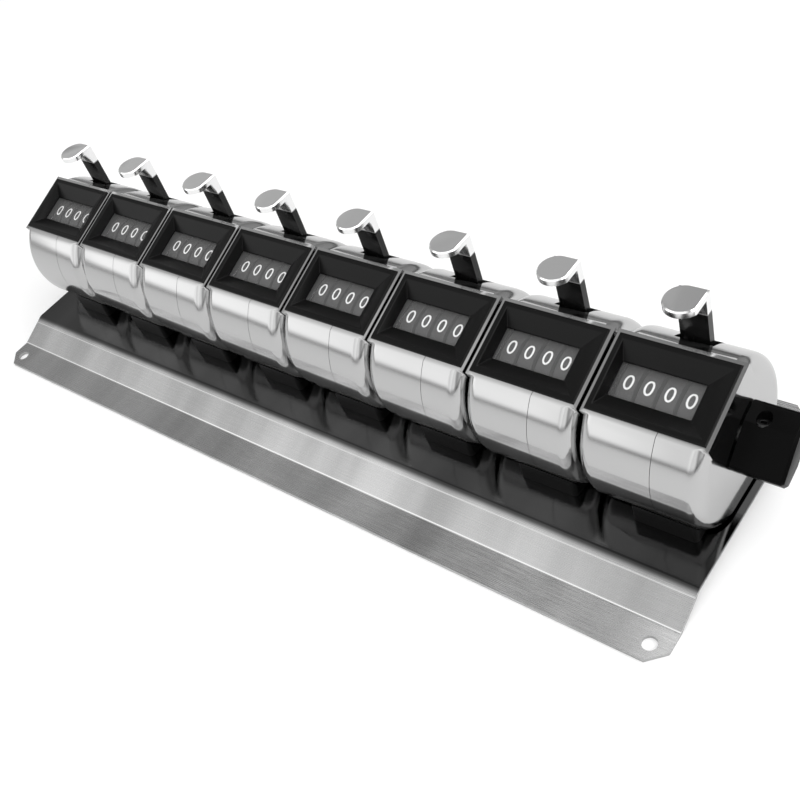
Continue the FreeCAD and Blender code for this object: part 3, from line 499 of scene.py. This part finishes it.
@dataclass
class Dresser:
    """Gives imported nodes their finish, or stands a softened copy in for them."""

    finishes: Finishes
    sharp_angle: float = math.radians(32)
    flat_angle: float = math.radians(0.3)
    merge_distance: float = 0.002 * MM

    def paint(self, node: str) -> None:
        """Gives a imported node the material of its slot.

        Args:
            node: The name of the node.
        """
        mesh = frame["nodes"][node].data
        mesh.materials.clear()
        mesh.materials.append(self.finishes.by_slot[slot_of_node(node)])

    def soften(self, node: str, width: float = 0.0, segments: int = 2) -> None:
        """Stands a merged copy in for a node, with its sharp edges rounded.

        Args:
            node: The name of the node.
            width: The width of the rounding, or nothing for smooth shading alone.
            segments: The steps across each rounding.
        """
        shape = bmesh.new()
        shape.from_mesh(frame["nodes"][node].data)
        bmesh.ops.remove_doubles(shape, verts=shape.verts[:], dist=self.merge_distance)
        bmesh.ops.dissolve_limit(shape, angle_limit=self.flat_angle, verts=shape.verts[:],
                                 edges=shape.edges[:])
        mesh = bpy.data.meshes.new(f"{node} finish")
        shape.to_mesh(mesh)
        shape.free()
        mesh.shade_smooth()
        mesh.set_sharp_from_angle(angle=self.sharp_angle)
        item = link(f"{node}_finish", mesh)
        if width:
            rounding = item.modifiers.new("rounding", "BEVEL")
            rounding.width = width
            rounding.segments = segments
            rounding.limit_method = "ANGLE"
            rounding.angle_limit = self.sharp_angle
            rounding.use_clamp_overlap = True
            rounding.harden_normals = True
        mesh.materials.append(self.finishes.by_slot[slot_of_node(node)])
        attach(item, body_of_node(node))
        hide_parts(node)
        LOG.info("%s: softened copy, %d faces", node, len(mesh.polygons))


@dataclass
class FigureRings:
    """The white figures 0 to 9 printed round every number wheel."""

    finishes: Finishes
    height: float = 4.5 * MM
    width: float = 2.8 * MM
    lift: float = 0.03 * MM
    strips: int = 8
    curve_steps: int = 5
    lead: float = math.radians(1.5)
    ratchet_width: float = 0.9 * MM

    def build(self) -> None:
        """Puts a ring of figures on every wheel."""
        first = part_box(self._wheel(1, Rank.THOUSANDS))
        master = self._ring(first)
        for unit in range(1, UNITS + 1):
            for rank in Rank:
                wheel = self._wheel(unit, rank)
                mesh = master.copy()
                mesh.transform(Matrix.Translation((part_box(wheel)[0].x - first[0].x, 0, 0)))
                mesh.materials.append(self.finishes.figure_white)
                item = link(f"figures_{unit}_{rank.value}", mesh)
                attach(item, body_of_node(wheel))
        LOG.info("figures on %d wheels, %d faces each", UNITS * len(Rank), len(master.polygons))

    @staticmethod
    def _wheel(unit: int, rank: Rank) -> str:
        """Gives the node name of one wheel."""
        return f"wheel_{unit}_{rank.value}"

    def _glyph(self, figure: int) -> bmesh.types.BMesh:
        """Draws one figure flat, from Blender's own plain type.

        Args:
            figure: The figure, 0 to 9.

        Returns:
            Its flat mesh, in the type's own size.
        """
        curve = bpy.data.curves.new("figure", "FONT")
        curve.body = str(figure)
        curve.align_x = "CENTER"
        curve.resolution_u = self.curve_steps
        item = bpy.data.objects.new("figure", curve)
        mesh = bpy.data.meshes.new_from_object(item)
        shape = bmesh.new()
        shape.from_mesh(mesh)
        bpy.data.objects.remove(item)
        bpy.data.curves.remove(curve)
        bpy.data.meshes.remove(mesh)
        return shape

    def _ring(self, box: tuple[Vector, Vector]) -> bpy.types.Mesh:
        """Bends the ten figures round one wheel, all to the scale of the nought.

        Args:
            box: The lowest and highest corner of the wheel.

        Returns:
            The ring's mesh, in place.
        """
        low, high = box
        axle = Vector(((low.x + self.ratchet_width + high.x) / 2,
                       (low.y + high.y) / 2,
                       (low.z + high.z) / 2))
        radius = (high.z - low.z) / 2
        nought = self._glyph(0)
        tall = max(vert.co.y for vert in nought.verts) - min(vert.co.y for vert in nought.verts)
        wide = max(vert.co.x for vert in nought.verts) - min(vert.co.x for vert in nought.verts)
        nought.free()
        ring = bmesh.new()
        for figure in range(FIGURES):
            shape = self._glyph(figure)
            heights = [vert.co.y for vert in shape.verts]
            middle = (max(heights) + min(heights)) / 2
            bmesh.ops.translate(shape, verts=shape.verts[:], vec=(0, -middle, 0))
            bmesh.ops.scale(shape, verts=shape.verts[:], vec=(self.width / wide, self.height / tall, 1))
            for strip in range(1, self.strips):
                level = self.height * (strip / self.strips - 0.5)
                bmesh.ops.bisect_plane(shape, geom=shape.verts[:] + shape.edges[:] + shape.faces[:],
                                       plane_co=(0, level, 0), plane_no=(0, 1, 0))
            for vert in shape.verts:
                turn = vert.co.y / radius + self.lead - figure * math.tau / FIGURES
                outward = radius + self.lift
                along, out = outward * math.sin(turn), outward * math.cos(turn)
                vert.co = axle + Vector((vert.co.x,
                                         along * math.cos(WINDOW_TILT) - out * math.sin(WINDOW_TILT),
                                         along * math.sin(WINDOW_TILT) + out * math.cos(WINDOW_TILT)))
            piece = bpy.data.meshes.new("figure piece")
            shape.to_mesh(piece)
            shape.free()
            ring.from_mesh(piece)
            bpy.data.meshes.remove(piece)
        mesh = bpy.data.meshes.new("figure ring")
        ring.to_mesh(mesh)
        ring.free()
        return mesh


@dataclass
class BaseSheet:
    """The folded stainless base with its feet and screws."""

    dresser: Dresser
    sheet_edge: float = 0.15 * MM
    foot_edge: float = 0.5 * MM
    screw_edge: float = 0.2 * MM

    def build(self) -> None:
        """Dresses the sheet and what stands on it."""
        self.dresser.soften("base_plate", self.sheet_edge)
        self.dresser.soften("feet", self.foot_edge)
        self.dresser.soften("foot_screws", self.screw_edge)
        self.dresser.paint("nut_bars")


@dataclass
class CounterCases:
    """The chromed shells, window frames and panes."""

    dresser: Dresser
    frame_edge: float = 0.35 * MM

    def build(self) -> None:
        """Dresses the cases."""
        self.dresser.soften("left_shells")
        self.dresser.soften("right_shells")
        self.dresser.soften("bezels", self.frame_edge, FINE_STEPS)
        self.dresser.paint("window_panes")


@dataclass
class Mechanism:
    """What is inside the cases, and the levers that come out of them."""

    dresser: Dresser
    lever_edge: float = 0.12 * MM

    def build(self) -> None:
        """Dresses the mechanism."""
        for node in ("left_side_plates", "right_side_plates", "frame_posts", "lever_pins",
                     "wheel_spacers", "detent_combs", "return_springs"):
            self.dresser.paint(node)
        for unit in range(1, UNITS + 1):
            self.dresser.soften(f"lever_{unit}", self.lever_edge)
            for rank in Rank:
                self.dresser.paint(f"wheel_{unit}_{rank.value}")


@dataclass
class ResetDrive:
    """The shaft through the row and the knob at its end."""

    dresser: Dresser
    clip_edge: float = 0.15 * MM
    knob_edge: float = 0.3 * MM
    set_screw_edge: float = 0.1 * MM

    def build(self) -> None:
        """Dresses the shaft and the knob."""
        self.dresser.paint("reset_shaft")
        self.dresser.soften("shaft_clip", self.clip_edge)
        self.dresser.soften("reset_knob", self.knob_edge, FINE_STEPS)
        self.dresser.soften("knob_set_screw", self.set_screw_edge)


@dataclass
class Studio:
    """A pale floor, soft light and the camera."""

    lens: float = 46.58
    camera_place: Vector = field(default_factory=lambda: Vector((0.2378, -0.1576, 0.2485)))
    camera_aim: Vector = field(default_factory=lambda: Vector((-0.57766, 0.43806, -0.68877)))
    camera_roll: float = math.radians(-22.0)
    shift: tuple[float, float] = (-0.002, 0.0058)
    floor_size: float = 30.0
    floor_gap: float = 0.1 * MM
    floor_level: float = 0.8
    floor_roughness: float = 0.8
    floor_specular: float = 0.2
    floor_lift: float = 0.2
    backdrop_level: float = 0.78

    def build(self) -> None:
        """Sets up the whole studio."""
        self._floor()
        self._world()
        self._light("key", Vector((-0.45, -0.85, 0.8)), size=1.8, power=3.0)
        self._light("top", Vector((0.66, 0.43, 1.25)), size=2.0, power=22.0)
        self._light("side", Vector((1.0, 0.15, 0.6)), size=0.6, power=2.0)
        self._camera()

    def _floor(self) -> None:
        """Lays the pale floor under the base, a little paler to the eye than in reflections."""
        shape = bmesh.new()
        bmesh.ops.create_grid(shape, x_segments=1, y_segments=1, size=self.floor_size / 2)
        mesh = bpy.data.meshes.new("floor")
        shape.to_mesh(mesh)
        shape.free()
        floor = link("floor", mesh)
        floor.location.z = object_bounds()[0][2] - self.floor_gap
        material = bpy.data.materials.new("floor")
        material.use_nodes = True
        tree = material.node_tree
        shader = tree.nodes["Principled BSDF"]
        shader.inputs["Base Color"].default_value = grey(self.floor_level)
        shader.inputs["Roughness"].default_value = self.floor_roughness
        shader.inputs["Specular IOR Level"].default_value = self.floor_specular
        shader.inputs["Emission Color"].default_value = grey(1.0)
        path = tree.nodes.new("ShaderNodeLightPath")
        lift = tree.nodes.new("ShaderNodeMath")
        lift.operation = "MULTIPLY"
        lift.inputs[1].default_value = self.floor_lift
        tree.links.new(path.outputs["Is Camera Ray"], lift.inputs[0])
        tree.links.new(lift.outputs["Value"], shader.inputs["Emission Strength"])
        mesh.materials.append(material)
        floor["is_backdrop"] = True

    def _world(self) -> None:
        """Surrounds the scene with a plain backdrop, and with bands of light that reflections show."""
        world = bpy.data.worlds.new("studio")
        world.use_nodes = True
        tree = world.node_tree
        sky = tree.nodes["Background"]
        sky.inputs["Strength"].default_value = 1.0
        place = tree.nodes.new("ShaderNodeTexCoord")
        split = tree.nodes.new("ShaderNodeSeparateXYZ")
        tree.links.new(place.outputs["Generated"], split.inputs["Vector"])
        # Places along each axis, from -1 to 1, and the brightness there
        bands = {
            "X": ((-1.0, 1.3), (-0.92, 0.6), (-0.82, 1.25), (-0.6, 1.0), (-0.45, 1.0), (-0.3, 0.66),
                  (-0.1, 0.85), (0.4, 1.0), (0.62, 0.35), (0.8, 1.0)),
            "Y": ((-1.0, 1.2), (-0.46, 1.1), (-0.26, 0.68), (0.0, 0.42), (0.44, 0.36), (1.0, 0.42)),
            "Z": ((-1.0, 0.45), (0.05, 0.45), (0.12, 1.0), (1.0, 1.0)),
        }
        level = None
        for axis, places in bands.items():
            spread = tree.nodes.new("ShaderNodeMapRange")
            spread.inputs["From Min"].default_value = -1.0
            ramp = tree.nodes.new("ShaderNodeValToRGB")
            stops = ramp.color_ramp.elements
            stops[1].position, stops[1].color = 1.0, grey(places[-1][1])
            stops[0].position, stops[0].color = 0.0, grey(places[0][1])
            for side, tone in places[1:-1]:
                stops.new((side + 1.0) / 2).color = grey(tone)
            tree.links.new(split.outputs[axis], spread.inputs["Value"])
            tree.links.new(spread.outputs["Result"], ramp.inputs["Fac"])
            if level is None:
                level = ramp.outputs["Color"]
                continue
            product = tree.nodes.new("ShaderNodeVectorMath")
            product.operation = "MULTIPLY"
            tree.links.new(level, product.inputs[0])
            tree.links.new(ramp.outputs["Color"], product.inputs[1])
            level = product.outputs["Vector"]
        tree.links.new(level, sky.inputs["Color"])
        backdrop = tree.nodes.new("ShaderNodeBackground")
        backdrop.inputs["Color"].default_value = grey(self.backdrop_level)
        path = tree.nodes.new("ShaderNodeLightPath")
        choice = tree.nodes.new("ShaderNodeMixShader")
        tree.links.new(path.outputs["Is Camera Ray"], choice.inputs["Fac"])
        tree.links.new(sky.outputs["Background"], choice.inputs[1])
        tree.links.new(backdrop.outputs["Background"], choice.inputs[2])
        tree.links.new(choice.outputs["Shader"], tree.nodes["World Output"].inputs["Surface"])
        bpy.context.scene.world = world

    @staticmethod
    def _light(name: str, place: Vector, size: float, power: float) -> None:
        """Hangs a soft square light that faces the object.

        Args:
            name: The light's name.
            place: Where it hangs.
            size: The side of its square.
            power: Its power in watts.
        """
        lamp = bpy.data.lights.new(name, "AREA")
        lamp.size = size
        lamp.energy = power
        item = bpy.data.objects.new(name, lamp)
        item.location = place
        item.rotation_euler = (-place).to_track_quat("-Z", "Y").to_euler()
        bpy.context.scene.collection.objects.link(item)

    def _camera(self) -> None:
        """Sets the camera to the photograph's angle."""
        camera = bpy.data.cameras.new("camera")
        camera.lens = self.lens
        camera.shift_x = self.shift[0]
        camera.shift_y = self.shift[1]
        item = bpy.data.objects.new("camera", camera)
        aim = self.camera_aim.to_track_quat("-Z", "Y")
        item.location = self.camera_place
        item.rotation_mode = "QUATERNION"
        item.rotation_quaternion = aim @ Quaternion((0, 0, 1), self.camera_roll)
        bpy.context.scene.collection.objects.link(item)
        bpy.context.scene.camera = item


def main() -> None:
    logging.basicConfig(level=logging.INFO, format="%(message)s")
    bpy.context.scene.view_settings.view_transform = "Standard"
    finishes = Finishes()
    dresser = Dresser(finishes)
    for assembly in (BaseSheet(dresser), CounterCases(dresser), Mechanism(dresser), ResetDrive(dresser),
                     FigureRings(finishes), Studio()):
        assembly.build()
        LOG.info("%s done", type(assembly).__name__)


if __name__ == "__main__":
    main()
